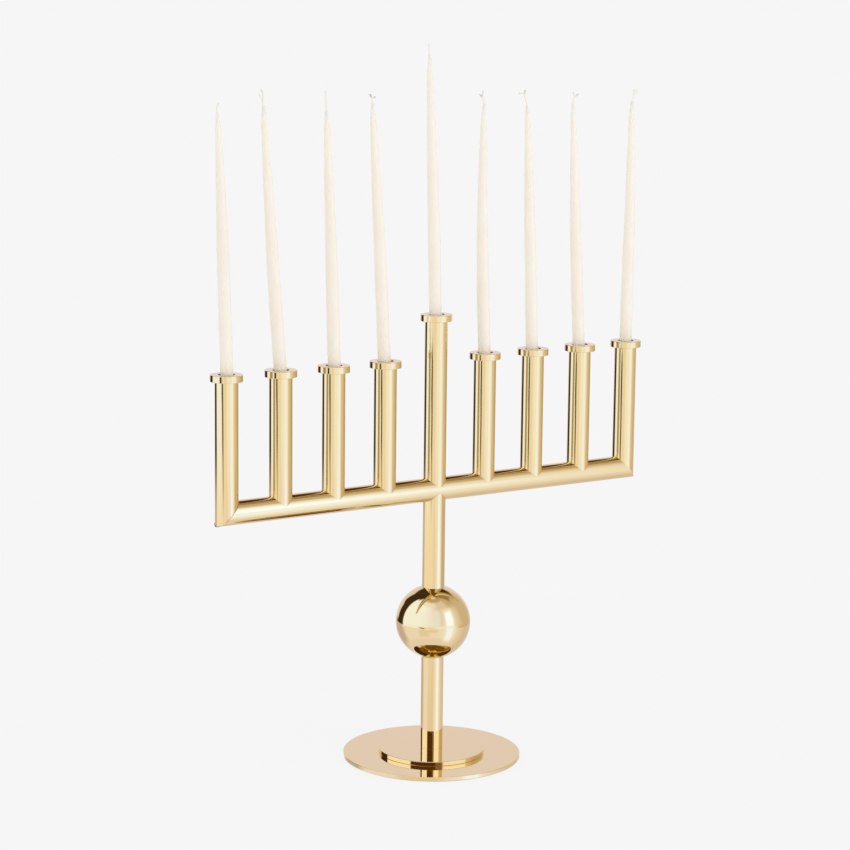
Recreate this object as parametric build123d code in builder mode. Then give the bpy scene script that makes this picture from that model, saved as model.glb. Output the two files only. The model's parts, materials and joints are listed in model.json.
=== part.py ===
from build123d import *
import math
import os

# Tabletop candelabra: nine candle arms on one level bar, carried by a stem that passes through
# a hollow ball and stands on a round two-step foot.  Millimetres, +Z up.  The origin is the
# centre of the felt's underside.  X runs along the bar, Y from front to back.

# --- driving dimensions -----------------------------------------------------------------------
TUBE_OD = 18.2              # arms and stem
BAR_OD = 18.9               # a little thicker, so that the round of the bar carries the arms
TUBE_WALL = 1.5             # every tube
SLIP = 0.05                 # radial gap of a spigot inside a tube, filled by the braze

FELT_D = 140.0              # felt pad under the foot
FELT_T = 1.0
PLATE_D = 144.0             # foot, lower plate
PLATE_T = 3.2
STEP_D = 86.0               # foot, upper disc
STEP_T = 3.5
EDGE_BREAK = 0.4            # small chamfer on every turned edge

BALL_D = 60.5
BALL_WALL = 1.5
BALL_Z = 113.2              # centre of the ball

BAR_Z = 222.4               # axis of the bar
ARM_COUNT = 9
ARM_PITCH = 47.5
SIDE_RIM_Z = 330.0          # top of the eight side collars
CENTRE_RIM_Z = 364.0        # top of the taller middle collar

SLEEVE_LENGTH = 12.0        # the left half of the bar reaches this far inside the right half
SLEEVE_WALL = 1.2

COLLAR_D = 25.4             # flange of a candle cup
COLLAR_T = 5.3
SOCKET_D = 13.0
SOCKET_DEPTH = 24.0
SOCKET_FLOOR = 2.0

SCREW_D = 6.0               # countersunk screw that holds the foot together
SCREW_HEAD_D = 12.0
SCREW_LENGTH = 20.0
HEX_KEY = 4.0
HEX_DEPTH = 2.0
CLEARANCE_HOLE_D = 6.6
PLUG_LENGTH = 16.0          # tapped plug in the foot of the stem
SPIGOT_LENGTH = 18.0        # spigot inside the ball, each way from its shoulder
SHOULDER_T = 2.0
LEAD_IN = 1.0               # chamfer that guides plugs and spigots into their tubes

CANDLE_D = 10.0             # foot of the thin taper candle
CANDLE_STRAIGHT = 0.45      # share of the length that stays full width
CANDLE_NECK_D = 4.8         # where the last, quicker taper begins
CANDLE_POINT = 14.0         # length of that last taper
CANDLE_TIP_D = 2.2          # a film of wax round the wick
SEAT_GAP = 0.8              # the leaning foot stands on its low edge, clear of the socket floor
WICK_D = 1.6
LEAN_TURN = math.radians(-33.3)     # plan direction, from +X, along which the candles lean

# One row for each candle, left to right: lean from the vertical in degrees, visible wax length,
# sideways place in the socket, then the free wick: height of its kink, and its tip measured
# sideways and upwards from the kink.
CANDLES = [
    (-1.9, 197.0, 0.3, 2.0, 0.6, 4.0),
    (-3.7, 201.5, -0.4, 7.0, -3.0, 3.2),
    (-2.0, 196.5, 0.3, 6.0, 0.8, 8.5),
    (-3.1, 201.5, -1.0, 2.0, 1.6, 4.5),
    (-2.0, 203.8, -0.7, 4.0, -0.5, 4.2),
    (-0.9, 199.0, -0.6, 6.0, -2.4, 4.8),
    (-2.1, 196.5, -1.0, 7.0, -3.2, 5.0),
    (-2.5, 197.5, -1.0, 5.0, 2.8, 4.6),
    (0.2, 198.5, -0.1, 6.0, 2.6, 4.0),
]

# --- worked out from the driving dimensions ---------------------------------------------------
TUBE_R = TUBE_OD / 2
BORE_R = TUBE_R - TUBE_WALL
SPIGOT_R = BORE_R - SLIP
BAR_R = BAR_OD / 2
BAR_BORE_R = BAR_R - TUBE_WALL
CUT_R = BAR_R + 1.0         # half width of a joint cutter, a little wider than the tubes
FOOT_Z = FELT_T + PLATE_T + STEP_T
BALL_R = BALL_D / 2
SOCKET_R = SOCKET_D / 2
CANDLE_R = CANDLE_D / 2
WICK_R = WICK_D / 2
ARM_X = [(n - (ARM_COUNT - 1) / 2) * ARM_PITCH for n in range(ARM_COUNT)]

os.makedirs("parts", exist_ok=True)


def save(piece, label):
    """Name a finished piece and write it as one STEP file."""
    piece.part.label = label
    export_step(piece.part, f"parts/{label}.step")


# --- foot -------------------------------------------------------------------------------------
# Felt under a brass plate, with a smaller disc on top.  One countersunk screw comes up through
# the plate and the disc into a tapped plug brazed in the end of the stem.
with BuildPart() as felt_pad:
    with BuildSketch():
        Circle(FELT_D / 2)
    extrude(amount=FELT_T)
save(felt_pad, "felt_pad")

with BuildPart() as foot_plate:
    with BuildSketch(Plane.XY.offset(FELT_T)):
        Circle(PLATE_D / 2)
    extrude(amount=PLATE_T)
    chamfer(foot_plate.edges(), EDGE_BREAK)
    underside = foot_plate.faces().sort_by(Axis.Z)[0]
    with Locations(Plane(underside)):
        CounterSinkHole(CLEARANCE_HOLE_D / 2, SCREW_HEAD_D / 2, counter_sink_angle=90)
save(foot_plate, "foot_plate")

with BuildPart() as foot_disc:
    with BuildSketch(Plane.XY.offset(FELT_T + PLATE_T)):
        Circle(STEP_D / 2)
    extrude(amount=STEP_T)
    chamfer(foot_disc.edges(), EDGE_BREAK)
    with Locations((0, 0, FOOT_Z)):
        Hole(CLEARANCE_HOLE_D / 2)
save(foot_disc, "foot_disc")

with BuildPart() as foot_screw:
    with BuildSketch(Plane.XZ):
        head_h = (SCREW_HEAD_D - SCREW_D) / 2
        with BuildLine():
            Polyline(
                (0, FELT_T),
                (SCREW_HEAD_D / 2, FELT_T),
                (SCREW_D / 2, FELT_T + head_h),
                (SCREW_D / 2, FELT_T + SCREW_LENGTH - LEAD_IN),
                (SCREW_D / 2 - LEAD_IN, FELT_T + SCREW_LENGTH),
                (0, FELT_T + SCREW_LENGTH),
                close=True,
            )
        make_face()
    revolve(axis=Axis.Z)
    with BuildSketch(Plane.XY.offset(FELT_T)):
        RegularPolygon(HEX_KEY / 2, 6, major_radius=False)
    extrude(amount=HEX_DEPTH, mode=Mode.SUBTRACT)
save(foot_screw, "foot_screw")

with BuildPart() as stem_plug:
    with BuildSketch(Plane.XY.offset(FOOT_Z)):
        Circle(SPIGOT_R)
        Circle(SCREW_D / 2 + SLIP, mode=Mode.SUBTRACT)
    extrude(amount=PLUG_LENGTH)
    top_rim = stem_plug.edges().filter_by(GeomType.CIRCLE).sort_by(Axis.Z)[-2:].sort_by(SortBy.RADIUS)[-1]
    chamfer(top_rim, LEAD_IN)
save(stem_plug, "stem_plug")


# --- stem and ball ----------------------------------------------------------------------------
# Two stem tubes meet on a shouldered spigot at the middle of the ball.  The ball is two pressed
# half shells, seamed round its equator and soldered to the stem where it passes through.
with BuildPart() as lower_stem:
    with BuildSketch(Plane.XY.offset(FOOT_Z)):
        Circle(TUBE_R)
        Circle(BORE_R, mode=Mode.SUBTRACT)
    extrude(amount=BALL_Z - SHOULDER_T / 2 - FOOT_Z)
save(lower_stem, "lower_stem")

with BuildPart() as ball_spigot:
    with BuildSketch(Plane.XY.offset(BALL_Z - SHOULDER_T / 2)):
        Circle(TUBE_R)
    extrude(amount=SHOULDER_T)
    with BuildSketch(Plane.XY.offset(BALL_Z)):
        Circle(SPIGOT_R)
    extrude(amount=SHOULDER_T / 2 + SPIGOT_LENGTH, both=True)
    ends = ball_spigot.edges().filter_by(GeomType.CIRCLE).group_by(Axis.Z)
    chamfer(ends[0] + ends[-1], LEAD_IN)
save(ball_spigot, "ball_spigot")


def make_ball_half(side):
    """Half shell above (side 1) or below (side -1) the seam, open at the pole for the stem."""
    inner_r = BALL_R - BALL_WALL
    outer_turn = math.degrees(math.acos(TUBE_R / BALL_R))
    inner_turn = math.degrees(math.acos(TUBE_R / inner_r))
    with BuildPart() as half:
        with BuildSketch(Plane.XZ):
            with BuildLine():
                outer = CenterArc((0, BALL_Z), BALL_R, 0, side * outer_turn)
                inner = CenterArc((0, BALL_Z), inner_r, 0, side * inner_turn)
                Line(outer @ 0, inner @ 0)
                Line(outer @ 1, inner @ 1)
            make_face()
        revolve(axis=Axis.Z)
    return half


save(make_ball_half(-1), "lower_ball_half")
save(make_ball_half(1), "upper_ball_half")


# --- bar and arms -----------------------------------------------------------------------------
# The bar is a little thicker than the upright tubes.  Each of those is coped to the round of the
# bar, so its end is a saddle that is brazed on the bar's outside, above or below.  The bar is two
# halves joined by a sleeve at the middle.  The outermost arms and the bar's ends are mitred.
def cope_to_bar(x):
    """Cut the round of the bar out of the current upright tube."""
    with BuildSketch(Plane.YZ.offset(x)) as bar_round:
        with Locations((0, BAR_Z)):
            Circle(BAR_R)
    extrude(bar_round.sketch, amount=CUT_R, both=True, mode=Mode.SUBTRACT)


def keep_mitre(x, outline):
    """Trim the current tube to an outline drawn in the X-Z plane, on the side where x lies."""
    side = math.copysign(1, x)
    with BuildSketch(Plane.XZ) as side_view:
        with BuildLine():
            Polyline(*[(side * across, up) for across, up in outline], close=True)
        make_face()
    extrude(side_view.sketch, amount=CUT_R, both=True, mode=Mode.INTERSECT)


with BuildPart() as upper_stem:
    with BuildSketch(Plane.XY.offset(BALL_Z + SHOULDER_T / 2)):
        Circle(TUBE_R)
        Circle(BORE_R, mode=Mode.SUBTRACT)
    extrude(amount=BAR_Z - BALL_Z - SHOULDER_T / 2)
    cope_to_bar(0)
save(upper_stem, "upper_stem")


def make_bar_half(side):
    """Half of the bar on the right (side 1) or left (side -1), mitred at its outer end."""
    end = ARM_X[-1]
    reach = end + CUT_R
    with BuildPart() as half:
        with BuildSketch(Plane.YZ.offset(min(0, side * reach))):
            with Locations((0, BAR_Z)):
                Circle(BAR_R)
                Circle(BAR_BORE_R, mode=Mode.SUBTRACT)
        extrude(amount=reach)
        keep_mitre(side, [
            (0, BAR_Z - CUT_R),
            (0, BAR_Z + CUT_R),
            (end - CUT_R, BAR_Z + CUT_R),
            (end + CUT_R, BAR_Z - CUT_R),
        ])
        if side < 0:
            for start, sleeve_r in ((-SLEEVE_LENGTH, BAR_BORE_R), (0, BAR_BORE_R - SLIP)):
                with BuildSketch(Plane.YZ.offset(start)):
                    with Locations((0, BAR_Z)):
                        Circle(sleeve_r)
                        Circle(BAR_BORE_R - SLEEVE_WALL, mode=Mode.SUBTRACT)
                extrude(amount=SLEEVE_LENGTH)
    return half


save(make_bar_half(-1), "bar_left_half")
save(make_bar_half(1), "bar_right_half")


def rim_height(x):
    """Top of the collar over an arm: the middle one stands above the rest."""
    return CENTRE_RIM_Z if x == 0 else SIDE_RIM_Z


def make_arm(x):
    """Upright tube.  Its foot is a saddle on the bar, or a 45 degree mitre on the two end arms."""
    top = rim_height(x) - COLLAR_T
    mitred = x in (ARM_X[0], ARM_X[-1])
    start = BAR_Z - CUT_R if mitred else BAR_Z
    with BuildPart() as arm:
        with BuildSketch(Plane.XY.offset(start)):
            with Locations((x, 0)):
                Circle(TUBE_R)
                Circle(BORE_R, mode=Mode.SUBTRACT)
        extrude(amount=top - start)
        if mitred:
            keep_mitre(x, [
                (abs(x) - CUT_R, BAR_Z + CUT_R),
                (abs(x) + CUT_R, BAR_Z - CUT_R),
                (abs(x) + CUT_R, top),
                (abs(x) - CUT_R, top),
            ])
        else:
            cope_to_bar(x)
    return arm


def make_candle_cup(x):
    """Turned cup: a collar that sits on the arm, and a sleeve inside it with the socket."""
    rim = rim_height(x)
    with BuildPart() as cup:
        with BuildSketch(Plane.XY.offset(rim - COLLAR_T)):
            with Locations((x, 0)):
                Circle(COLLAR_D / 2)
        extrude(amount=COLLAR_T)
        chamfer(cup.edges().filter_by(GeomType.CIRCLE), EDGE_BREAK)
        with BuildSketch(Plane.XY.offset(rim - SOCKET_DEPTH - SOCKET_FLOOR)):
            with Locations((x, 0)):
                Circle(SPIGOT_R)
        extrude(amount=SOCKET_DEPTH + SOCKET_FLOOR - COLLAR_T)
        with BuildSketch(Plane.XY.offset(rim)):
            with Locations((x, 0)):
                Circle(SOCKET_R)
        extrude(amount=-SOCKET_DEPTH, mode=Mode.SUBTRACT)
        mouth = cup.edges().filter_by(GeomType.CIRCLE).group_by(Axis.Z)[-1].sort_by(SortBy.RADIUS)[0]
        chamfer(mouth, EDGE_BREAK)
    return cup


# --- candles ----------------------------------------------------------------------------------
# Thin taper candles, each leaning a little in its socket.  A cotton wick runs the whole length.
def candle_frame(x, lean, shift):
    """Plane through the candle's axis: its origin is the foot, its local Y runs up the wax."""
    lean = math.radians(lean)
    across = Vector(math.cos(LEAN_TURN), math.sin(LEAN_TURN), 0)
    up = across * math.sin(lean) + Vector(0, 0, math.cos(lean))
    sideways = across * math.cos(lean) - Vector(0, 0, math.sin(lean))
    mouth = Vector(x, 0, rim_height(x)) + across * shift
    foot = mouth - up * ((SOCKET_DEPTH - SEAT_GAP) / math.cos(lean))
    return Plane(origin=foot, x_dir=sideways, z_dir=sideways.cross(up))


def make_candle(frame, length):
    """Wax: full width in the socket and well above it, then a slow taper and a quicker one."""
    outline = [
        (WICK_R, 0),
        (CANDLE_R, 0),
        (CANDLE_R, CANDLE_STRAIGHT * length),
        (CANDLE_NECK_D / 2, length - CANDLE_POINT),
        (CANDLE_TIP_D / 2, length),
        (WICK_R, length),
    ]
    with BuildPart() as candle:
        with BuildSketch(frame):
            with BuildLine():
                Polyline(*outline, close=True)
            make_face()
        revolve(axis=Axis(frame.origin, frame.y_dir))
    return candle


def make_wick(frame, length, bend, tip_across, tip_up):
    """Cotton wick: straight through the wax, with one kink in its free end."""
    knee = length + bend
    with BuildPart() as wick:
        with BuildLine(frame):
            route = Polyline((0, 0), (0, knee), (tip_across, knee + tip_up))
        with BuildSketch(Plane(origin=frame.origin, z_dir=frame.y_dir)):
            Circle(WICK_R)
        sweep(path=route, transition=Transition.RIGHT)
    return wick


for number, (x, row) in enumerate(zip(ARM_X, CANDLES), start=1):
    lean, wax_length, shift, bend, tip_across, tip_up = row
    length = wax_length + SOCKET_DEPTH - SEAT_GAP
    frame = candle_frame(x, lean, shift)
    save(make_arm(x), f"arm_{number}")
    save(make_candle_cup(x), f"candle_cup_{number}")
    save(make_candle(frame, length), f"candle_{number}")
    save(make_wick(frame, length, bend, tip_across, tip_up), f"wick_{number}")
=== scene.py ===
"""Nine-light brass candelabra with ivory tapers: surfaces, finishes and studio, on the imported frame."""
import json
import math

import bmesh
import bpy
import numpy as np
from mathutils import Matrix, Vector


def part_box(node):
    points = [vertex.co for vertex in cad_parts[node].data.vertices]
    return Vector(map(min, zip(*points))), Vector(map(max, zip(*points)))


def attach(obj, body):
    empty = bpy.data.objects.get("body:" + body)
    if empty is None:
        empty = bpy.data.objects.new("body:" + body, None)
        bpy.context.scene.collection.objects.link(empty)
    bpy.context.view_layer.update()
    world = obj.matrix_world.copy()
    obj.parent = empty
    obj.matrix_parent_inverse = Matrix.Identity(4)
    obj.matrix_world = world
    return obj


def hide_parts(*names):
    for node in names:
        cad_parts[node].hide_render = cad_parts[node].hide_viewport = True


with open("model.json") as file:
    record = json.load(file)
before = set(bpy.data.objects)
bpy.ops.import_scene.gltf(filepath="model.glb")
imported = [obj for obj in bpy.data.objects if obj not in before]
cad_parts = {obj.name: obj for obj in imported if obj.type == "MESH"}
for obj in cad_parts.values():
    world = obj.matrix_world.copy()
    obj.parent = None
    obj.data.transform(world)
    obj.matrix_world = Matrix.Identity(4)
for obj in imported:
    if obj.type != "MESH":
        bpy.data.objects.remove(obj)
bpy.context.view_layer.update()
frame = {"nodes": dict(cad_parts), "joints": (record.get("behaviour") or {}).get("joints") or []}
MM = 0.001


# --- Felt pad ---------------------------------------------------------------------------------
# A disc of pressed wool felt, punched from 1 mm sheet and glued under the foot so that the brass
# doesn't mark a table.  Its cut rim is soft and a hair uneven.
FELT_RIM_WAVE = 0.12 * MM
FELT_RIM_LOBES = (17, 29, 41)  # waves round the rim
FELT_EDGE = 0.25 * MM
FELT_CLUMP = 4.0 * MM
FELT_FIBRE = 0.5 * MM          # real fibres are 0.02 mm, too fine to show
FELT_DARK, FELT_LIGHT = "#B9AE9C", "#DDD5C6"
FINE_TURN = 240                # faces round a wide disc or the ball
SHARP = math.radians(30)       # a steeper edge than this is an edge of the piece
SAME_PLACE = 0.0005 * MM


def linear(hex_colour, strength=1.0):
    """An sRGB hex colour as linear red, green, blue and 1: each channel's display curve undone."""
    channels = [int(hex_colour[i:i + 2], 16) / 255 for i in (1, 3, 5)]
    curve = [c / 12.92 if c <= 0.04045 else ((c + 0.055) / 1.055) ** 2.4 for c in channels]
    return (*(c * strength for c in curve), 1.0)


def add_node(tree, kind, inputs=None, output=0, **settings):
    """Add one node with its settings, and a value or a link for each input; give one output."""
    node = tree.nodes.new("ShaderNode" + kind)
    for name, value in settings.items():
        setattr(node, name, value)
    for name, value in (inputs or {}).items():
        if isinstance(value, bpy.types.NodeSocket):
            tree.links.new(value, node.inputs[name])
        else:
            node.inputs[name].default_value = value
    return node.outputs[output] if node.outputs else None


def new_material(name):
    """An empty node material, and the tree that its shader is built in."""
    material = bpy.data.materials.new(name)
    material.use_nodes = True
    material.node_tree.nodes.clear()
    return material, material.node_tree


def blend_colours(tree, factor, low, high):
    """One colour at factor 0 passing to another at factor 1."""
    return add_node(tree, "Mix", {0: factor, 6: low, 7: high}, output=2, data_type="RGBA")


def skin(name, grids):
    """One closed mesh from grids of points.  Neighbours in a grid share a face, and points that
    coincide, at a pole or where grids meet, are merged before the normals are made to agree."""
    points, faces, first = [], [], 0
    for grid in grids:
        rows, columns = grid.shape[:2]
        index = first + np.arange(rows * columns).reshape(rows, columns)
        corners = index[:-1, :-1], index[1:, :-1], index[1:, 1:], index[:-1, 1:]
        faces.append(np.stack(corners, axis=-1).reshape(-1, 4))
        points.append(grid.reshape(-1, 3))
        first += rows * columns
    mesh = bpy.data.meshes.new(name)
    mesh.from_pydata(np.concatenate(points).tolist(), [], np.concatenate(faces).tolist())
    merged = bmesh.new()
    merged.from_mesh(mesh)
    bmesh.ops.remove_doubles(merged, verts=merged.verts, dist=SAME_PLACE)
    bmesh.ops.recalc_face_normals(merged, faces=merged.faces)
    merged.to_mesh(mesh)
    merged.free()
    mesh.shade_smooth()
    mesh.set_sharp_from_angle(angle=SHARP)
    piece = bpy.data.objects.new(name, mesh)
    bpy.context.scene.collection.objects.link(piece)
    return piece


def round_edges(piece, width, steps=3):
    """Round the sharp edges by a small width, and keep the faces beside them true."""
    bevel = piece.modifiers.new("rounded_edges", "BEVEL")
    bevel.width = width
    bevel.segments = steps
    bevel.limit_method = "ANGLE"
    bevel.angle_limit = SHARP
    bevel.harden_normals = True


def turned(name, outline, centre=(0.0, 0.0), steps=FINE_TURN, ripple=0.0):
    """A lathe piece: an outline of (radius, height) pairs is carried round the upright axis, to
    x = cx + r (1 + ripple) cos t and y = cy + r (1 + ripple) sin t.  The outline is closed first,
    unless it starts on the axis."""
    outline = np.array(outline, float)
    if outline[0, 0] > 0:
        outline = np.vstack([outline, outline[:1]])
    turn = np.linspace(0, 2 * math.pi, steps + 1)[:, None]
    radius = outline[:, 0] * (1 + ripple)
    x, y = centre[0] + radius * np.cos(turn), centre[1] + radius * np.sin(turn)
    return skin(name, [np.stack([x, y, outline[:, 1] + 0 * turn], axis=-1)])


def fit(piece, material, body, slot, *nodes):
    """Finish a piece: its material, the body it rides on and the CAD it stands for.  The slot is not
    used.
    """
    piece.data.materials.append(material)
    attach(piece, body)
    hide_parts(*nodes)


def wool_felt():
    """Pressed wool, undyed: quite matt, mottled in clumps, with a nap of fibres that catches light."""
    material, tree = new_material("pressed_wool_felt")
    place = add_node(tree, "TexCoord", output="Object")
    clumps = add_node(tree, "TexNoise", {"Vector": place, "Scale": 1 / FELT_CLUMP, "Detail": 5.0})
    fibres = add_node(tree, "TexNoise", {"Vector": place, "Scale": 1 / FELT_FIBRE, "Detail": 2.0})
    nap = add_node(tree, "Bump", {"Height": fibres, "Strength": 0.7, "Distance": 0.2 * MM})
    colour = blend_colours(tree, clumps, linear(FELT_DARK), linear(FELT_LIGHT))
    surface = add_node(tree, "BsdfPrincipled", {
        "Base Color": colour, "Roughness": 0.95, "Sheen Weight": 0.3, "Normal": nap})
    add_node(tree, "OutputMaterial", {"Surface": surface})
    return material


felt_low, felt_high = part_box("felt_pad")
felt_outline = [
    (0, felt_low.z),
    (felt_high.x, felt_low.z),
    (felt_high.x, felt_high.z),
    (0, felt_high.z),
]
rim_turn = np.linspace(0, 2 * math.pi, FINE_TURN + 1)[:, None]
rim_wave = sum(np.sin(lobes * rim_turn + k) for k, lobes in enumerate(FELT_RIM_LOBES))
rim_wave = rim_wave / len(FELT_RIM_LOBES)
felt = turned("felt_disc", felt_outline, ripple=rim_wave * FELT_RIM_WAVE / felt_high.x)
round_edges(felt, FELT_EDGE)
fit(felt, wool_felt(), "stand", "felt", "felt_pad")


# --- Foot -------------------------------------------------------------------------------------
# Two discs turned from brass plate, the smaller on top, held by one countersunk steel screw that
# comes up through both into a plug in the stem.  Turned, buffed on a wheel and lacquered.
EDGE_BREAK = 0.4 * MM
CLEARANCE_HOLE = 3.3 * MM
SCREW_HEAD = 6.0 * MM
BRASS_GOLD, BRASS_WARM = "#F6DDA6", "#F4D9A0"
POLISH_WAVE = 22.0 * MM        # slow unevenness that a soft buffing wheel leaves
POLISH_DEPTH = 0.006 * MM
POLISH_HAZE = 7.0 * MM         # patches that took the polish a little better or worse
ZINC = "#B4B8BA"


def mirror_brass():
    """Brass buffed to a mirror: sharp reflections that waver slightly, in a pale warm gold that
    whitens at grazing angles, with faint haze where the polishing compound cut less."""
    material, tree = new_material("mirror_polished_brass")
    place = add_node(tree, "TexCoord", output="Object")
    wave = add_node(tree, "TexNoise", {"Vector": place, "Scale": 1 / POLISH_WAVE, "Detail": 1.0})
    haze = add_node(tree, "TexNoise", {"Vector": place, "Scale": 1 / POLISH_HAZE, "Detail": 4.0})
    roughness = add_node(tree, "MapRange", {"Value": haze, "To Min": 0.02, "To Max": 0.06})
    relief = add_node(tree, "Bump", {"Height": wave, "Strength": 1.0, "Distance": POLISH_DEPTH})
    colour = blend_colours(tree, haze, linear(BRASS_GOLD), linear(BRASS_WARM))
    surface = add_node(tree, "BsdfPrincipled", {
        "Base Color": colour, "Metallic": 1.0, "Roughness": roughness, "Normal": relief})
    add_node(tree, "OutputMaterial", {"Surface": surface})
    return material


def zinc_plate():
    """Bright zinc on a steel screw: a bluish grey metal, slightly cloudy from the plating bath."""
    material, tree = new_material("zinc_plated_steel")
    place = add_node(tree, "TexCoord", output="Object")
    cloud = add_node(tree, "TexNoise", {"Vector": place, "Scale": 1 / (2 * MM), "Detail": 3.0})
    roughness = add_node(tree, "MapRange", {"Value": cloud, "To Min": 0.25, "To Max": 0.45})
    surface = add_node(tree, "BsdfPrincipled", {
        "Base Color": linear(ZINC), "Metallic": 1.0, "Roughness": roughness})
    add_node(tree, "OutputMaterial", {"Surface": surface})
    return material


def coat_node(node, material):
    """Give a CAD node that keeps its own mesh a new material in its slots."""
    for place in frame["nodes"][node].material_slots:
        place.material = material


brass = mirror_brass()
plate_low, plate_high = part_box("foot_plate")
foot_plate = turned("brass_foot_plate", [
    (CLEARANCE_HOLE, plate_high.z),
    (plate_high.x, plate_high.z),
    (plate_high.x, plate_low.z),
    (SCREW_HEAD, plate_low.z),
    (CLEARANCE_HOLE, plate_low.z + SCREW_HEAD - CLEARANCE_HOLE),
])
round_edges(foot_plate, EDGE_BREAK)
fit(foot_plate, brass, "stand", "brass", "foot_plate")

disc_low, disc_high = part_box("foot_disc")
foot_disc = turned("brass_foot_disc", [
    (CLEARANCE_HOLE, disc_high.z),
    (disc_high.x, disc_high.z),
    (disc_high.x, disc_low.z),
    (CLEARANCE_HOLE, disc_low.z),
])
round_edges(foot_disc, EDGE_BREAK)
fit(foot_disc, brass, "stand", "brass", "foot_disc")

coat_node("foot_screw", zinc_plate())
coat_node("stem_plug", brass)


# --- Stem and ball ----------------------------------------------------------------------------
# Two lengths of drawn brass tube that meet on a shouldered spigot inside the ball.  The ball is
# two half shells pressed from sheet, soldered round the middle and to the stem, and buffed flush.
WALL = 1.5 * MM                # of the tube, and of the ball's shells
TUBE_STEPS = 192
BALL_STEPS = 96
SEAM = 0.08 * MM               # what buffing leaves of a flush soldered joint

stem_low, stem_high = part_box("lower_stem")
TUBE = stem_high.x
BORE = TUBE - WALL
lower_stem = turned("brass_lower_stem", [
    (TUBE, stem_low.z),
    (TUBE, stem_high.z),
    (BORE, stem_high.z),
    (BORE, stem_low.z),
], steps=TUBE_STEPS)
round_edges(lower_stem, SEAM)
fit(lower_stem, brass, "stand", "brass", "lower_stem")


def shell_arc(radius, middle, side, steps):
    """(radius, height) pairs up or down a sphere, from its equator to where the stem passes."""
    rise = np.linspace(0, math.acos(TUBE / radius), steps)
    return np.stack([radius * np.cos(rise), middle + side * radius * np.sin(rise)], axis=-1)


for name, side in (("lower_ball_half", -1), ("upper_ball_half", 1)):
    half_low, half_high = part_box(name)
    equator = half_high.z if side < 0 else half_low.z
    outer = shell_arc(half_high.x, equator, side, BALL_STEPS)
    inner = shell_arc(half_high.x - WALL, equator, side, BALL_STEPS // 4)
    ball_half = turned("brass_" + name, [*outer, *inner[::-1]])
    fit(ball_half, brass, "stand", "brass", name)

coat_node("ball_spigot", brass)


# --- Bar and arms -----------------------------------------------------------------------------
# Drawn brass tube.  The stem and the arms are coped to the round of the bar, which is a little
# thicker, and brazed on it.  The outermost arms are mitred to its ends.  All is dressed flush.
TURN = np.linspace(0, 2 * math.pi, TUBE_STEPS + 1)
ARMS = range(1, 10)

bar_low, bar_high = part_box("bar_left_half")
BAR_Z, BAR = (bar_low.z + bar_high.z) / 2, (bar_high.z - bar_low.z) / 2
arm_x = {n: (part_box(f"arm_{n}")[0].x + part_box(f"arm_{n}")[1].x) / 2 for n in ARMS}


def tube(name, place, outside, start, end):
    """A tube between two cuts.  place turns radius, turn and distance into points, and a cut gives
    the distance along the tube for a radius and a turn."""
    grids = []
    for r in (outside, outside - WALL):
        grids.append(np.stack([place(r, TURN, start(r, TURN)), place(r, TURN, end(r, TURN))], axis=1))
    for cut in (start, end):
        grids.append(np.stack([place(r, TURN, cut(r, TURN)) for r in (outside, outside - WALL)], axis=1))
    return skin(name, grids)


def upright(x):
    """Points on an upright tube at x: x + r cos t, r sin t, height."""
    return lambda r, t, height: np.stack([x + r * np.cos(t), r * np.sin(t), height + 0 * t], axis=-1)


def level(r, t, reach):
    """Points on the bar: reach along it, then r cos t forward and r sin t up from its axis."""
    return np.stack([reach + 0 * t, -r * np.cos(t), BAR_Z + r * np.sin(t)], axis=-1)


def straight(height):
    """A square cut."""
    return lambda r, t: height + 0 * t


def saddle(way):
    """A cope to the bar above or below it: its height from the bar's axis is the root of the bar's
    radius squared less the square of the point's distance y = r sin t from the upright's plane."""
    return lambda r, t: BAR_Z + way * np.sqrt(BAR ** 2 - (r * np.sin(t)) ** 2)


def mitre(x, along):
    """A 45 degree cut through the point where the axis of an end arm at x meets the bar's."""
    side = math.copysign(1, x)
    if along == "bar":
        return lambda r, t: x - side * r * np.sin(t)
    return lambda r, t: BAR_Z - side * r * np.cos(t)


upper_foot = straight(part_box("upper_stem")[0].z)
upper_stem = tube("brass_upper_stem", upright(0), TUBE, upper_foot, saddle(-1))
round_edges(upper_stem, SEAM)
fit(upper_stem, brass, "stand", "brass", "upper_stem")

for name, end_arm in (("bar_left_half", ARMS[0]), ("bar_right_half", ARMS[-1])):
    half = tube("brass_" + name, level, BAR, straight(0), mitre(arm_x[end_arm], "bar"))
    fit(half, brass, "stand", "brass", name)

for n in ARMS:
    foot = mitre(arm_x[n], "arm") if n in (ARMS[0], ARMS[-1]) else saddle(1)
    arm = tube(f"brass_arm_{n}", upright(arm_x[n]), TUBE, foot, straight(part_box(f"arm_{n}")[1].z))
    round_edges(arm, SEAM)
    fit(arm, brass, "stand", "brass", f"arm_{n}")


# --- Candle cups ------------------------------------------------------------------------------
# One solid turning each: a flat collar that sits on the arm, wider than the tube, over a sleeve
# that goes down inside it.  The candle's socket is bored from above.
SLIP = 0.05 * MM
COLLAR_HEIGHT = 5.3 * MM
SOCKET = 6.5 * MM
SOCKET_DEPTH = 24.0 * MM
CUP_EDGE = 0.35 * MM

for n in ARMS:
    cup_low, cup_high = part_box(f"candle_cup_{n}")
    collar = (cup_high.x - cup_low.x) / 2
    sleeve = BORE - SLIP
    cup = turned(f"brass_candle_cup_{n}", [
        (0, cup_low.z),
        (sleeve, cup_low.z),
        (sleeve, cup_high.z - COLLAR_HEIGHT),
        (collar, cup_high.z - COLLAR_HEIGHT),
        (collar, cup_high.z),
        (SOCKET, cup_high.z),
        (SOCKET, cup_high.z - SOCKET_DEPTH),
        (0, cup_high.z - SOCKET_DEPTH),
    ], centre=(arm_x[n], 0), steps=TUBE_STEPS)
    round_edges(cup, CUP_EDGE)
    fit(cup, brass, "stand", "brass", f"candle_cup_{n}")


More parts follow.
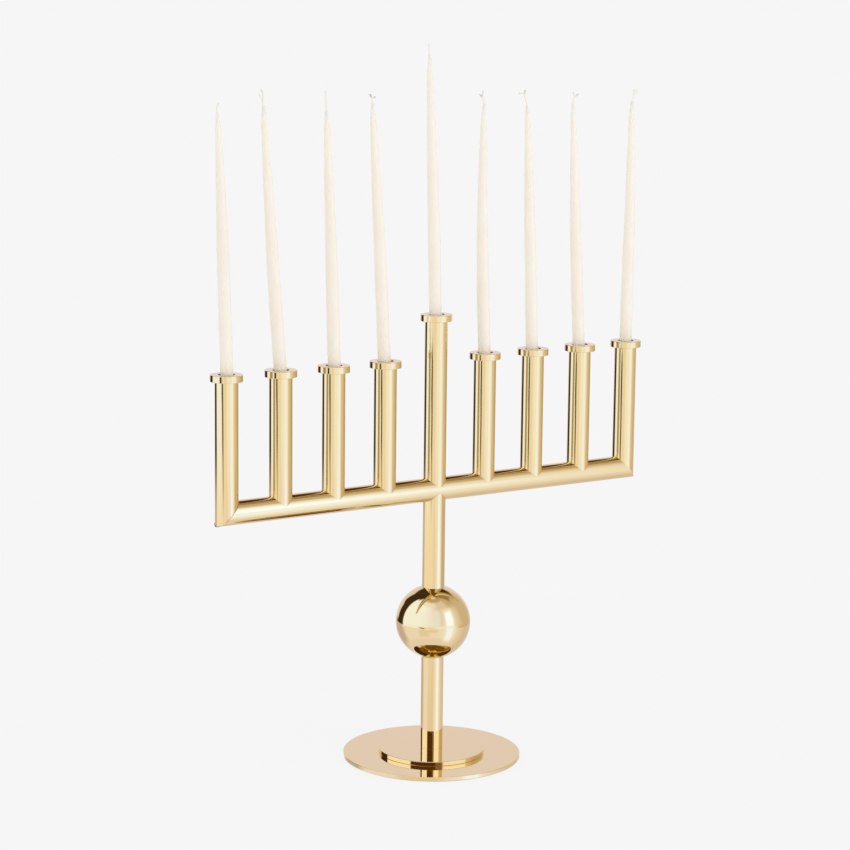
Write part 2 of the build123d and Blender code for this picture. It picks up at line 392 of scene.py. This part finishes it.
# --- Candles ----------------------------------------------------------------------------------
# Thin tapers of ivory wax, dipped by hand in pairs over one wick.  Dipping leaves them a little
# bowed and uneven, thinner towards the top, with wax drawn a little way up the wick.
LEAN_TURN = math.radians(-33.3)     # plan direction, from +X, in which the candles lean and bow
CANDLE_ROUND = 48
CANDLE_RINGS = 180
NECK = 2.3 * MM                     # radius where the last, quicker taper begins
POINT = 14.0 * MM                   # length of that taper, where the wax runs out along the wick
TIP = 1.15 * MM
WICK = 0.8 * MM
CANDLE_FOOT = 5.0 * MM
CANDLE_EDGE = 0.3 * MM
FOOT_FLAT = 0.01 * MM               # how far a point of the flat foot may lie from its plane
TAPER_SHARE = 0.8                   # upper share of the free length that is thinned by dipping
DIP_WAVE = 0.07 * MM                # unevenness of the dipped skin, in two waves up the candle
DIP_SHORT, DIP_LONG = 9.0 * MM, 23.0 * MM
DIP_START = 20.0 * MM               # over which the waves begin, above the socket
WAX_PALE, WAX_DEEP = "#FCF3E6", "#F8EBD9"
WAX_CLOUD = 30.0 * MM
WAX_SKIN = 1.2 * MM                 # fine pitting where the last dip cooled
BOW = {1: 0.4, 2: -0.5, 3: 0.3, 4: 0.5, 5: 0.4, 6: -1.4, 7: 0.3, 8: -0.4, 9: 0.5}   # mm
WAVER_ACROSS, WAVER_AWAY = 0.12, 0.25                                               # mm


def ivory_wax():
    """Paraffin and stearin: translucent, so light enters and softens its shading, with a satin
    skin.  Slow clouds of deeper cream, and fine pits from cooling."""
    material, tree = new_material("ivory_dipped_wax")
    place = add_node(tree, "TexCoord", output="Object")
    clouds = add_node(tree, "TexNoise", {"Vector": place, "Scale": 1 / WAX_CLOUD, "Detail": 3.0})
    pits = add_node(tree, "TexNoise", {"Vector": place, "Scale": 1 / WAX_SKIN, "Detail": 2.0})
    relief = add_node(tree, "Bump", {"Height": pits, "Strength": 0.25, "Distance": 0.03 * MM})
    roughness = add_node(tree, "MapRange", {"Value": pits, "To Min": 0.38, "To Max": 0.5})
    colour = blend_colours(tree, clouds, linear(WAX_PALE), linear(WAX_DEEP))
    surface = add_node(tree, "BsdfPrincipled", {
        "Base Color": colour, "Roughness": roughness, "IOR": 1.44, "Normal": relief,
        "Subsurface Weight": 0.4, "Subsurface Radius": (1.0, 0.7, 0.4), "Subsurface Scale": 2 * MM})
    add_node(tree, "OutputMaterial", {"Surface": surface})
    return material


def candle_line(n):
    """A candle's foot, length and directions: across to the side it leans to, away, and up."""
    up = np.array([j["axis"] for j in frame["joints"] if j["name"] == f"candle_{n}_lift"][0])
    up = up / np.linalg.norm(up)
    side = np.array([math.cos(LEAN_TURN), math.sin(LEAN_TURN), 0.0])
    across = side - (side @ up) * up
    across = across / np.linalg.norm(across)
    mesh = frame["nodes"][f"candle_{n}"].data
    points = np.empty(len(mesh.vertices) * 3)
    mesh.vertices.foreach_get("co", points)
    points = points.reshape(-1, 3)
    height = points @ up
    foot = points[height < height.min() + FOOT_FLAT].mean(axis=0)
    return foot, height.max() - height.min(), across, np.cross(up, across), up


def smooth_step(share):
    """From 0 to 1 with a level start and end: the share squared times 3 - 2 share."""
    return share * share * (3 - 2 * share)


def bowed(n, height, length):
    """How far the line of a candle wanders across and away at a height: one long bow that starts
    above the socket, and two slow waves."""
    free = np.clip((height - SOCKET_DEPTH) / (length - SOCKET_DEPTH), 0, 1)
    waver = smooth_step(free)
    across = BOW[n] * np.sin(math.pi * free) + WAVER_ACROSS * waver * np.sin(3 * math.pi * free + n)
    away = WAVER_AWAY * waver * np.sin(2 * math.pi * free + 2.4 * n)
    return across * MM, away * MM


def candle_outline(n, length, foot_radius):
    """(radius, height) pairs up a taper.  With s the share of the taper still to go, the radius is
    neck + (foot - neck)(1 - (1 - s) squared), and full below it.  Over the last stretch the neck
    runs out to the tip by a smooth step.  The outline then turns back down along the wick."""
    height = np.linspace(0, length, CANDLE_RINGS)
    free = length - SOCKET_DEPTH
    left = np.clip((length - POINT - height) / (TAPER_SHARE * free), 0, 1)
    radius = NECK + (foot_radius - NECK) * (1 - (1 - left) ** 2)
    out = np.clip((height - length + POINT) / POINT, 0, 1)
    radius -= (NECK - TIP) * smooth_step(out)
    wave = np.sin(height / DIP_SHORT + n) + np.sin(height / DIP_LONG + 2 * n)
    radius += DIP_WAVE * wave * np.clip((height - SOCKET_DEPTH) / DIP_START, 0, 1) * (1 - out)
    down = np.linspace(length, 0, CANDLE_RINGS // 4)
    return (np.concatenate([radius, WICK + 0 * down, radius[:1]]),
            np.concatenate([height, down, height[:1]]))


wax = ivory_wax()
for n in ARMS:
    foot, length, across, away, up = candle_line(n)
    radius, height = candle_outline(n, length, CANDLE_FOOT)
    shift_across, shift_away = bowed(n, height, length)
    turn = np.linspace(0, 2 * math.pi, CANDLE_ROUND + 1)[:, None]
    grid = (foot + height[:, None] * up
            + (shift_across + radius * np.cos(turn))[..., None] * across
            + (shift_away + radius * np.sin(turn))[..., None] * away)
    candle = skin(f"wax_taper_{n}", [grid])
    round_edges(candle, CANDLE_EDGE)
    fit(candle, wax, f"loose_candle_{n}", "wax", f"candle_{n}")


# --- Wicks ------------------------------------------------------------------------------------
# Cotton yarns plaited into a round cord that runs the whole length of the wax.  Two candles are
# dipped on one wick and cut apart, so each end is crooked in its own way and its yarns spring open.
WICK_ROUND = 24
WICK_STEP = 0.12 * MM
HIDDEN_POINTS = 60             # on the line of a wick inside its wax
SPAN_STEPS = 60                # on each span of a free end, before they are spaced evenly
END_STEPS = 8                  # over which a free end's last direction is taken
PLAIT_PITCH = 2.4 * MM
PLAIT_DEPTH = 0.2              # of the radius, between the crossings of the yarns
PLAIT_STRANDS = 2              # pairs of crossing yarns round the cord
YARN = 0.33 * MM
SPLIT_YARN = 1.5 * YARN        # two or three yarns that came away together
YARN_DEPTH = 0.15
SPRUNG_YARNS = 4               # at each cut end
COTTON_FIBRE = 0.3 * MM
# the grey is painted shade, laid on the wicks towards their cut ends
COTTON_PALE, COTTON_SHADE_GREY = "#F4EEE2", "#A79F94"
END_SHADE_REACH = 2.5 * MM
END_SHADE_SHARE = {2: 0.4, 4: 1.0, 6: 0.8, 7: 0.7, 8: 0.6}       # share of painted shade at a cut end
END_SHADE_LITTLE = 0.1                                         # and all the other ends
# The free end of each wick from the top of its wax, then any yarns that have come away from it:
# (across, away, up) in mm.
WICK_ENDS = {
    1: [[(0, 0, 0), (-0.1, 0.1, 2.0), (0.1, 0.2, 4.2), (0.9, 0.0, 6.4)]],
    2: [[(0, 0, 0), (-0.1, 0.1, 3.0), (0.4, 0.2, 6.6), (0.2, 0.1, 9.4), (-0.6, 0.0, 11.4)],
        [(0.0, 0.0, 1.2), (-0.7, -0.2, 4.0), (-1.6, -0.1, 6.6), (-2.8, 0.0, 9.0)]],
    3: [[(0, 0, 0), (0.0, 0.0, 3.0), (-0.2, 0.3, 8.0), (-0.1, 0.1, 14.0)]],
    4: [[(0, 0, 0), (0.1, 0.0, 2.0), (-0.4, 0.2, 4.2), (-1.2, 0.0, 6.2)],
        [(0.1, 0.1, 1.8), (0.7, 0.3, 3.4), (1.7, 0.2, 4.6), (2.8, 0.0, 4.9)]],
    5: [[(0, 0, 0), (-0.1, 0.1, 3.0), (-0.2, 0.2, 6.0), (-0.3, 0.0, 8.2)]],
    6: [[(0, 0, 0), (-0.2, 0.2, 2.0), (-1.1, 0.3, 4.6), (-2.8, 0.0, 6.9)],
        [(-0.9, 0.2, 4.2), (-1.2, 0.2, 7.0), (-1.0, 0.0, 10.4)]],
    7: [[(0, 0, 0), (-0.4, 0.1, 3.0), (-1.2, 0.2, 6.1), (-1.9, 0.0, 9.2), (-1.6, 0.0, 11.8)],
        [(-1.8, 0.1, 8.6), (-3.0, 0.1, 10.0), (-4.8, 0.0, 10.4), (-6.8, 0.0, 10.2)]],
    8: [[(0, 0, 0), (0.4, 0.1, 2.7), (1.3, 0.3, 5.3), (4.0, 0.0, 7.3)],
        [(1.1, 0.3, 4.8), (0.8, 0.2, 7.2), (0.2, 0.0, 9.6)]],
    9: [[(0, 0, 0), (0.8, 0.2, 2.4), (1.5, 0.3, 5.0), (1.2, 0.2, 8.6)],
        [(1.5, 0.3, 5.4), (3.4, 0.3, 6.6), (4.0, 0.0, 8.2), (2.6, -0.2, 9.4), (1.4, -0.2, 8.8)]],
}


def plaited_cotton():
    """Mercerised cotton: matt and slightly fuzzy.  Towards the cut ends it is painted greyer than the
    plait, as painted shade.
    """
    material, tree = new_material("plaited_cotton")
    place = add_node(tree, "TexCoord", output="Object")
    fibres = add_node(tree, "TexNoise", {"Vector": place, "Scale": 1 / COTTON_FIBRE, "Detail": 2.0})
    nap = add_node(tree, "Bump", {"Height": fibres, "Strength": 0.5, "Distance": 0.05 * MM})
    # share of painted shade, greatest at the cut ends
    cut = add_node(tree, "Attribute", output="Fac", attribute_name="end_shade_paint")
    colour = blend_colours(tree, cut, linear(COTTON_PALE), linear(COTTON_SHADE_GREY))
    surface = add_node(tree, "BsdfPrincipled", {
        "Base Color": colour, "Roughness": 0.9, "Sheen Weight": 0.2, "Normal": nap})
    add_node(tree, "OutputMaterial", {"Surface": surface})
    return material


def smooth_route(points):
    """Catmull-Rom: between two points the line is a cubic that leaves each of them along the
    chord between its neighbours.  Its points are then spaced evenly."""
    p = np.array(points, float) * MM
    p = np.vstack([2 * p[0] - p[1], p, 2 * p[-1] - p[-2]])
    t = np.linspace(0, 1, SPAN_STEPS, endpoint=False)[:, None]
    spans = []
    for a, b, c, d in zip(p, p[1:], p[2:], p[3:]):
        square = (2 * a - 5 * b + 4 * c - d) * t ** 2
        cube = (3 * b - a - 3 * c + d) * t ** 3
        spans.append((2 * b + (c - a) * t + square + cube) / 2)
    line = np.concatenate([*spans, p[-2:-1]])
    reach = np.concatenate([[0], np.cumsum(np.linalg.norm(np.diff(line, axis=0), axis=1))])
    even = np.arange(0, reach[-1], WICK_STEP)
    return np.stack([np.interp(even, reach, line[:, k]) for k in range(3)], axis=-1)


def cord_grid(line, radius, depth, strands):
    """A cord along a line.  Its radius dips between yarns: with a and b = strands x turn, plus and
    minus the distance over the pitch, it is r (1 - depth (1 - larger of |sin a| and |sin b|)).
    Both ends are rounded off to a point."""
    step = np.linalg.norm(np.diff(line, axis=0), axis=1)
    reach = np.concatenate([[0], np.cumsum(step)])
    along = np.gradient(line, axis=0)
    along /= np.linalg.norm(along, axis=1)[:, None]
    side = np.cross(along, (0.0, 1.0, 0.0))
    side /= np.linalg.norm(side, axis=1)[:, None]
    other = np.cross(side, along)
    turn = np.linspace(0, 2 * math.pi, WICK_ROUND + 1)
    twist = (math.pi * reach / PLAIT_PITCH)[:, None]
    one_way, other_way = np.sin(strands * turn + twist), np.sin(strands * turn - twist)
    weave = np.maximum(np.abs(one_way), np.abs(other_way))
    from_end = np.clip(np.minimum(reach, reach[-1] - reach) / radius, 0, 1)
    round_off = np.sqrt(1 - (1 - from_end) ** 2)[:, None]
    r = radius * round_off * (1 - depth * (1 - weave))
    return (line[:, None]
            + (r * np.cos(turn))[..., None] * side[:, None]
            + (r * np.sin(turn))[..., None] * other[:, None])


def sprung_yarns(end, direction, seed):
    """The yarns of a cut end: each leaves it a little outwards, and curls.  Lengths are in mm."""
    rng = np.random.default_rng(seed)
    for turn in np.arange(SPRUNG_YARNS) * 2 * math.pi / SPRUNG_YARNS + rng.uniform(0, math.pi):
        out = np.array([math.cos(turn), math.sin(turn), 0.0]) * rng.uniform(0.35, 0.7)
        reach = rng.uniform(0.7, 1.3)
        start = end / MM - 1.2 * direction
        middle = end / MM + 0.5 * out
        yield smooth_route([start, middle, middle + reach * (direction + 0.8 * out)])


cotton = plaited_cotton()
for n in ARMS:
    foot, length, across, away, up = candle_line(n)
    hidden = np.linspace(WICK, length - WICK, HIDDEN_POINTS)
    shift = np.stack(bowed(n, hidden, length), axis=-1)
    top = np.array([*np.stack(bowed(n, np.array([length]), length), axis=-1)[0], length])
    inside = np.column_stack([shift, hidden])
    free = [smooth_route(points) + top for points in WICK_ENDS[n]]
    direction = free[0][-1] - free[0][-END_STEPS]
    direction /= np.linalg.norm(direction)
    grids = [cord_grid(np.vstack([inside, free[0]]), WICK, PLAIT_DEPTH, PLAIT_STRANDS)]
    grids += [cord_grid(line, SPLIT_YARN, YARN_DEPTH, 1) for line in free[1:]]
    grids += [cord_grid(line, YARN, YARN_DEPTH, 1) for line in sprung_yarns(free[0][-1], direction, n)]
    axes = np.stack([across, away, up])
    wick = skin(f"cotton_wick_{n}", [foot + grid @ axes for grid in grids])
    ends = np.stack([foot + line[-1] @ axes for line in free])
    points = np.empty(len(wick.data.vertices) * 3)
    wick.data.vertices.foreach_get("co", points)
    gap = np.linalg.norm(points.reshape(-1, 1, 3) - ends, axis=-1).min(axis=1)
    # painted shade: greyer towards each cut end, more at some ends than others
    grey = END_SHADE_SHARE.get(n, END_SHADE_LITTLE) * np.clip(1 - gap / END_SHADE_REACH, 0, 1)
    end_shade_paint = wick.data.attributes.new("end_shade_paint", "FLOAT", "POINT")
    end_shade_paint.data.foreach_set("value", grey.astype(np.float32))
    fit(wick, cotton, f"loose_candle_{n}", "cotton", f"wick_{n}")


# --- Studio -----------------------------------------------------------------------------------
# The camera, a white backdrop and table, and one soft lamp to the right.  The world gives matt
# surfaces a plain fill, and shows polished brass a room of white flats, a softbox and dark gaps, with
# painted reflection where brass mirrors brass.
# Bearings are degrees from the camera's side, positive to its right, and heights above the horizon.
CAMERA_TURN, CAMERA_RISE, CAMERA_ROLL = (math.radians(a) for a in (-33.299, 9.989, 0.635))
CAMERA_AIM, CAMERA_DISTANCE = Vector((-0.0068, 0.0044, 0.2745)), 2.0749
CAMERA_LENS, SENSOR = 109.82, 36.0
BACKDROP = "#F6F6F6"
FILL = 0.93                    # strength of the plain light on matt surfaces
TABLE_LEFT, TABLE_RIGHT, TABLE_BACK, TABLE_FRONT = -0.70, 1.5, -1.6, 1.5
SHADOW = 0.08                  # share of really lit laminate, with its shadow, beside the foot
SHADOW_START, SHADOW_END = 0.1, 0.6
TABLE_WHITE = 0.92
LAMP_TURN, LAMP_RISE = math.radians(55), math.radians(30)
LAMP_AIM, LAMP_DISTANCE = Vector((0, 0, 0.3)), 1.8
LAMP_WIDTH, LAMP_POWER = 0.9, 5.6
DAYLIGHT = "#C9DAFF"
SWEEP_MIRRORED = linear("#F4EFFF", 0.90)
# What polished brass mirrors.  From bearing, to bearing, from height, to height, softness across,
# softness up, colour, strength.  A row stands in front of the rows above it.  It reaches past 180 or
# 90 degrees where it has no edge.
STUDIO = [
    # the glossy table, which mirrors the flats and the gaps more dimly
    (-181, 181, -95, -7, 1, 5, "#EAEAFF", 1.12),
    (-181, 181, -95, -42, 1, 14, "#EDEDFF", 1.0),
    (18, 50, -40, -7, 24, 10, "#DCE3FF", 1.27),
    (84, 181, -60, -7, 30, 5, "#F2F0FF", 0.92),
    (108, 181, -60, -7, 34, 5, "#FFF8F8", 0.71),
    (-156, -104, -42, -7, 24, 16, "#FCF4FF", 0.60),
    (-44, -12, -36, -13, 16, 10, "#F4F0FF", 0.92),
    (-36, 14, -22, -12, 20, 5, "#FEF6F0", 0.85),
    # white flats to the left and in front, dimmer towards the right and the ceiling
    (-106, 60, -7, 95, 6, 5, DAYLIGHT, 1.70),
    (-15, 60, -7, 95, 50, 5, "#D1DCFF", 1.42),
    (24, 60, -3, 70, 16, 8, "#DEE5FF", 1.08),
    (60, 151, -7, 95, 20, 5, "#FCFBFF", 0.82),
    (94, 151, -7, 95, 24, 5, "#FFF6ED", 0.64),
    (10, 75, 45, 95, 50, 16, "#F4F2FF", 0.85),
    (70, 151, 40, 95, 30, 16, "#FFF1D8", 0.60),
    (-120, 10, 58, 95, 20, 20, "#E4E8FF", 1.20),
    (-181, 181, 71, 95, 1, 9, "#FFE4B8", 0.58),
    # where the flats meet the table
    (86, 151, -14.5, -10, 16, 2, "#FFF1E3", 0.62),
    (82, 151, -11, -5, 20, 2, "#FFF5E3", 0.78),
    (104, 151, -11, -5, 24, 2, "#FFF3E0", 0.63),
    (2, 44, -11.3, -6, 14, 3, "#E0EAFF", 1.32),
    (-28, 6, -15, -6, 24, 4, "#FFFEFA", 0.90),
    (-108, -8, -15, -10, 12, 3, "#FEFCFF", 0.97),
    (-105, -45, -11.5, -6, 8, 3, DAYLIGHT, 1.65),
    # the softbox, and its image in the table
    (36, 74, -50, 42, 18, 16, "#DCE6FF", 1.35),
    (43, 66, -46, 35, 8, 12, "#BCCFFF", 2.0),
    (43, 66, -12, 33, 8, 10, "#B2CAFF", 2.35),
    (42, 67, -12, -4, 8, 3, "#C9D9FF", 1.70),
    # the dark room behind and above the sweep, and beside it
    (100, 136, 50, 95, 14, 8, "#C4A87C", 0.62),
    (128, 181, 36, 95, 18, 10, "#6A4A28", 0.55),
    (-181, -140, 34, 95, 8, 8, "#5A4026", 0.6),
    (-143, -105, -11.3, 95, 6, 1.6, "#40301F", 1.0),
    (-112, -95, 56, 95, 10, 10, "#40301F", 1.0),
    # the near end of the sweep, which stands in front of that room low down
    (-168, -135, -7.5, 14, 5, 5, "#F4EFFF", 0.90),
    # a white reflector straight overhead
    (-181, 181, 85, 95, 1, 3, "#F4EFFF", 0.95),
    # a narrow gap between two flats, which leans
    (-43, -29.5, -9.6, -8.3, 3, 0.6, "#3A3018", 0.6),
    (-38.5, -26, -10.9, -9.4, 3.5, 1.0, "#5E5238", 0.8),
    (-35, -22, -11.7, -10.8, 6, 1.0, "#C0B6A4", 1.0),
]
# Painted reflection, shown only where brass mirrors brass: dark patches in front and overhead, bright
# ones beside the low dark one, and below the horizon the same things as above, dimmer and more olive.
OLIVE_PAINTED_SHADE = (0.71, 0.76, 0.60)
OLIVE_HEIGHTS = (-95, -2, 4)   # from, to and softness up
MIRRORED_TWICE = 1.5           # a ray's glossy depth is 1 at the first mirror and 2 at the next
PAINTED_BRASS_IN_BRASS = [
    # painted highlights on either side, then painted shade in front and overhead
    (-112, -46, 10, 34, 3, 4, "#C6D8FF", 1.95),
    (26, 80, 10, 34, 5, 4, "#C6D8FF", 1.95),
    (-44, 24, 10, 34, 3, 4, "#8A7460", 1.0),
    (-46, 9, 10, 34, 3, 4, "#5A3E14", 0.9),
    (-44, 26, 34, 95, 4, 6, "#806628", 0.8),
    (-181, 181, 66, 95, 1, 6, "#806628", 0.8),
]
right = Vector((math.cos(CAMERA_TURN), math.sin(CAMERA_TURN), 0))
front = Vector((math.sin(CAMERA_TURN), -math.cos(CAMERA_TURN), 0))

camera_data = bpy.data.cameras.new("studio_camera")
camera_data.lens = CAMERA_LENS
camera_data.sensor_width = SENSOR
camera = bpy.data.objects.new("studio_camera", camera_data)
bpy.context.scene.collection.objects.link(camera)
back = front * math.cos(CAMERA_RISE) + Vector((0, 0, math.sin(CAMERA_RISE)))
facing = Matrix((right, back.cross(right), back)).transposed() @ Matrix.Rotation(CAMERA_ROLL, 3, "Z")
camera.matrix_world = Matrix.Translation(CAMERA_AIM + CAMERA_DISTANCE * back) @ facing.to_4x4()
bpy.context.scene.camera = camera
bpy.context.scene.view_settings.view_transform = "Standard"


def within(tree, value, low, high, soft):
    """1 where a value lies between two limits, and smoothly 0 past a soft edge on each."""
    off = add_node(tree, "Math", {0: value, 1: (low + high) / 2}, operation="SUBTRACT")
    off = add_node(tree, "Math", {0: off}, operation="ABSOLUTE")
    half = (high - low) / 2
    return add_node(tree, "MapRange", {
        "Value": off,
        "From Min": half - soft / 2,
        "From Max": half + soft / 2,
        "To Min": 1.0,
        "To Max": 0.0,
    }, interpolation_type="SMOOTHSTEP")


def set_up(tree, seen, rows, bearing, height, shown):
    """Stand a list of flats, gaps and lights, or of painted reflections, in front of what is seen, each
    in front of the last.
    """
    for start, end, low, high, soft, soft_up, colour, strength in rows:
        wide = within(tree, bearing, start, end, soft)
        tall = within(tree, height, low, high, soft_up)
        inside = add_node(tree, "Math", {0: wide, 1: tall}, operation="MULTIPLY")
        inside = add_node(tree, "Math", {0: inside, 1: shown}, operation="MULTIPLY")
        seen = blend_colours(tree, inside, seen, linear(colour, strength))
    return seen


def studio_world():
    """What the room gives to each kind of ray: the backdrop's plain white to the camera, a plain
    fill to matt surfaces, and the flats, gaps and softbox to whatever mirrors them, with painted
    reflections where brass mirrors brass."""
    world = bpy.data.worlds.new("studio")
    world.use_nodes = True
    world.cycles.sampling_method = "NONE"
    tree = world.node_tree
    tree.nodes.clear()
    look = add_node(tree, "TexCoord", output="Generated")
    across = add_node(tree, "VectorMath", {0: look, 1: right}, output="Value", operation="DOT_PRODUCT")
    toward = add_node(tree, "VectorMath", {0: look, 1: front}, output="Value", operation="DOT_PRODUCT")
    rise = add_node(tree, "VectorMath", {0: look, 1: (0, 0, 1)}, output="Value", operation="DOT_PRODUCT")
    bearing = add_node(tree, "Math", {0: across, 1: toward}, operation="ARCTAN2")
    bearing = add_node(tree, "Math", {0: bearing}, operation="DEGREES")
    height = add_node(tree, "Math", {0: rise}, operation="ARCSINE")
    height = add_node(tree, "Math", {0: height}, operation="DEGREES")
    path = tree.nodes.new("ShaderNodeLightPath")
    seen = set_up(tree, SWEEP_MIRRORED, STUDIO, bearing, height, 1.0)
    mirrors = path.outputs["Glossy Depth"]
    twice = add_node(tree, "Math", {0: mirrors, 1: MIRRORED_TWICE}, operation="GREATER_THAN")
    # painted shade: below the horizon, brass mirrored in brass is dimmer and more olive
    painted_olive_shade = add_node(tree, "VectorMath", {0: seen, 1: OLIVE_PAINTED_SHADE}, output="Vector", operation="MULTIPLY")
    below = within(tree, height, *OLIVE_HEIGHTS)
    below = add_node(tree, "Math", {0: below, 1: twice}, operation="MULTIPLY")
    seen = blend_colours(tree, below, seen, painted_olive_shade)
    # then the painted patches, for brass mirrored in brass only
    seen = set_up(tree, seen, PAINTED_BRASS_IN_BRASS, bearing, height, twice)
    light = blend_colours(tree, path.outputs["Is Glossy Ray"], linear("#FFFFFF", FILL), seen)
    light = blend_colours(tree, path.outputs["Is Camera Ray"], light, linear(BACKDROP))
    add_node(tree, "OutputWorld", {"Surface": add_node(tree, "Background", {"Color": light})})
    bpy.context.scene.world = world


def table_white():
    """Matt white laminate.  To the camera it is the backdrop's white, with a light contact shadow
    that fades away from the foot.  To the object it gives the same plain fill as the world."""
    material, tree = new_material("white_laminate")
    material.cycles.emission_sampling = "NONE"
    place = add_node(tree, "TexCoord", output="Object")
    reach = add_node(tree, "VectorMath", {0: place}, output="Value", operation="LENGTH")
    share = add_node(tree, "MapRange", {
        "Value": reach,
        "From Min": SHADOW_START,
        "From Max": SHADOW_END,
        "To Min": SHADOW,
        "To Max": 0.0,
    })
    lit = add_node(tree, "BsdfDiffuse", {"Color": linear("#FFFFFF", TABLE_WHITE)})
    plain = add_node(tree, "Emission", {"Color": linear(BACKDROP)})
    seen = add_node(tree, "MixShader", {0: share, 1: plain, 2: lit})
    path = tree.nodes.new("ShaderNodeLightPath")
    bounce = add_node(tree, "Emission", {"Color": linear("#FFFFFF", FILL)})
    surface = add_node(tree, "MixShader", {0: path.outputs["Is Camera Ray"], 1: bounce, 2: seen})
    add_node(tree, "OutputMaterial", {"Surface": surface})
    return material


studio_world()

corners = [
    (TABLE_LEFT, TABLE_BACK),
    (TABLE_RIGHT, TABLE_BACK),
    (TABLE_RIGHT, TABLE_FRONT),
    (TABLE_LEFT, TABLE_FRONT),
]
table_mesh = bpy.data.meshes.new("studio_table")
table_mesh.from_pydata([tuple(x * right + y * front) for x, y in corners], [], [(0, 1, 2, 3)])
table_mesh.materials.append(table_white())
table = bpy.data.objects.new("studio_table", table_mesh)
bpy.context.scene.collection.objects.link(table)
table.visible_glossy = False

lamp_data = bpy.data.lights.new("softbox", "AREA")
lamp_data.shape = "DISK"
lamp_data.size = LAMP_WIDTH
lamp_data.energy = LAMP_POWER
lamp_data.color = linear(DAYLIGHT)[:3]
lamp = bpy.data.objects.new("softbox", lamp_data)
lamp_way = (right * math.sin(LAMP_TURN) + front * math.cos(LAMP_TURN)) * math.cos(LAMP_RISE)
lamp_way += Vector((0, 0, math.sin(LAMP_RISE)))
lamp.location = LAMP_AIM + LAMP_DISTANCE * lamp_way
lamp.rotation_euler = lamp_way.to_track_quat("Z", "Y").to_euler()
lamp.visible_camera = lamp.visible_glossy = False
bpy.context.scene.collection.objects.link(lamp)
